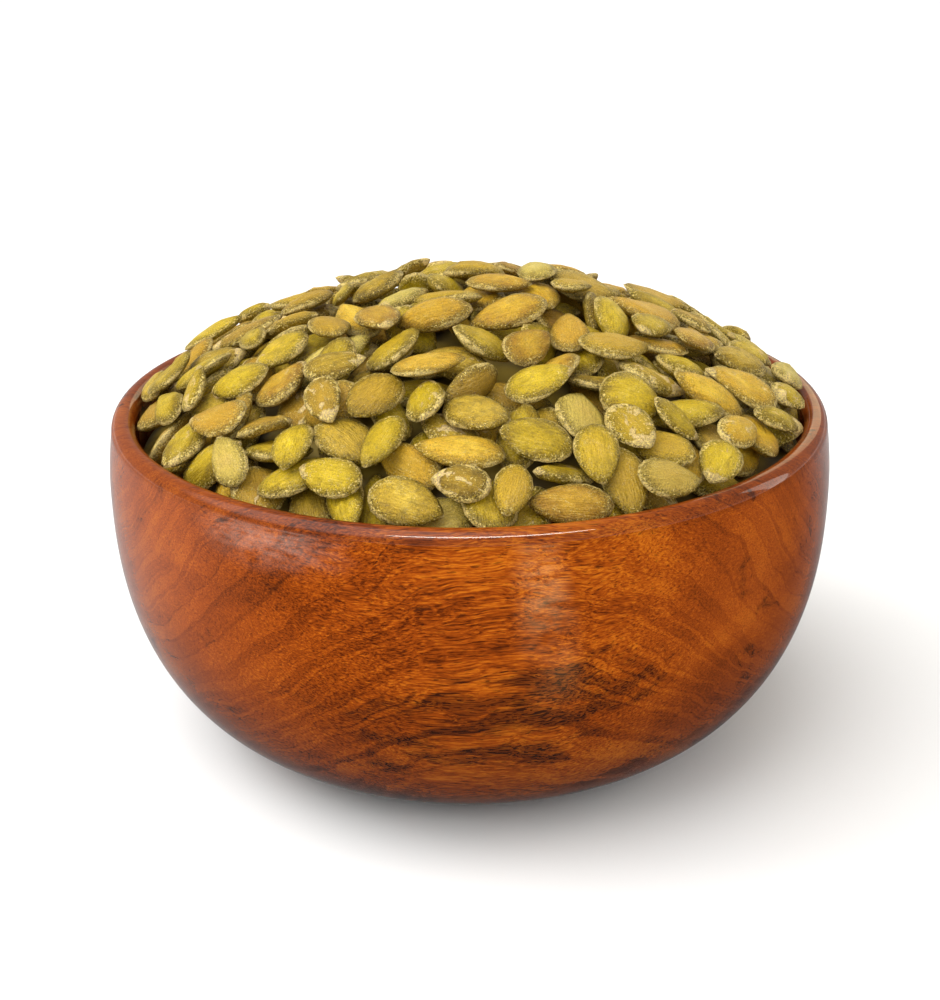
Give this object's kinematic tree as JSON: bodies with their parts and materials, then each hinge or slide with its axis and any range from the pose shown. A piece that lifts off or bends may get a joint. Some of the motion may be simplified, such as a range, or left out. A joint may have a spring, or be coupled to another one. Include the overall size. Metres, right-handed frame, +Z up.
{
  "type": "bowl of roasted pumpkin seeds",
  "caption": "Round turned wooden bowl with a flat foot and a rounded lip, heaped above the lip with shelled roasted pumpkin seeds.",
  "frame": {"origin": "centre of the bowl's flat foot, on the surface it stands on", "axes": "+Z up through the middle of the bowl, -Y towards the viewer of the picture, +X to that viewer's right"},
  "size_m": [0.14, 0.14, 0.0905],
  "materials": {
    "bowl_wood": "gloss",
    "seed_skin": "satin"
  },
  "bodies": {
    "root": {"bowl": "bowl_wood", "pumpkin_seeds": "seed_skin"}
  },
  "joints": []
}
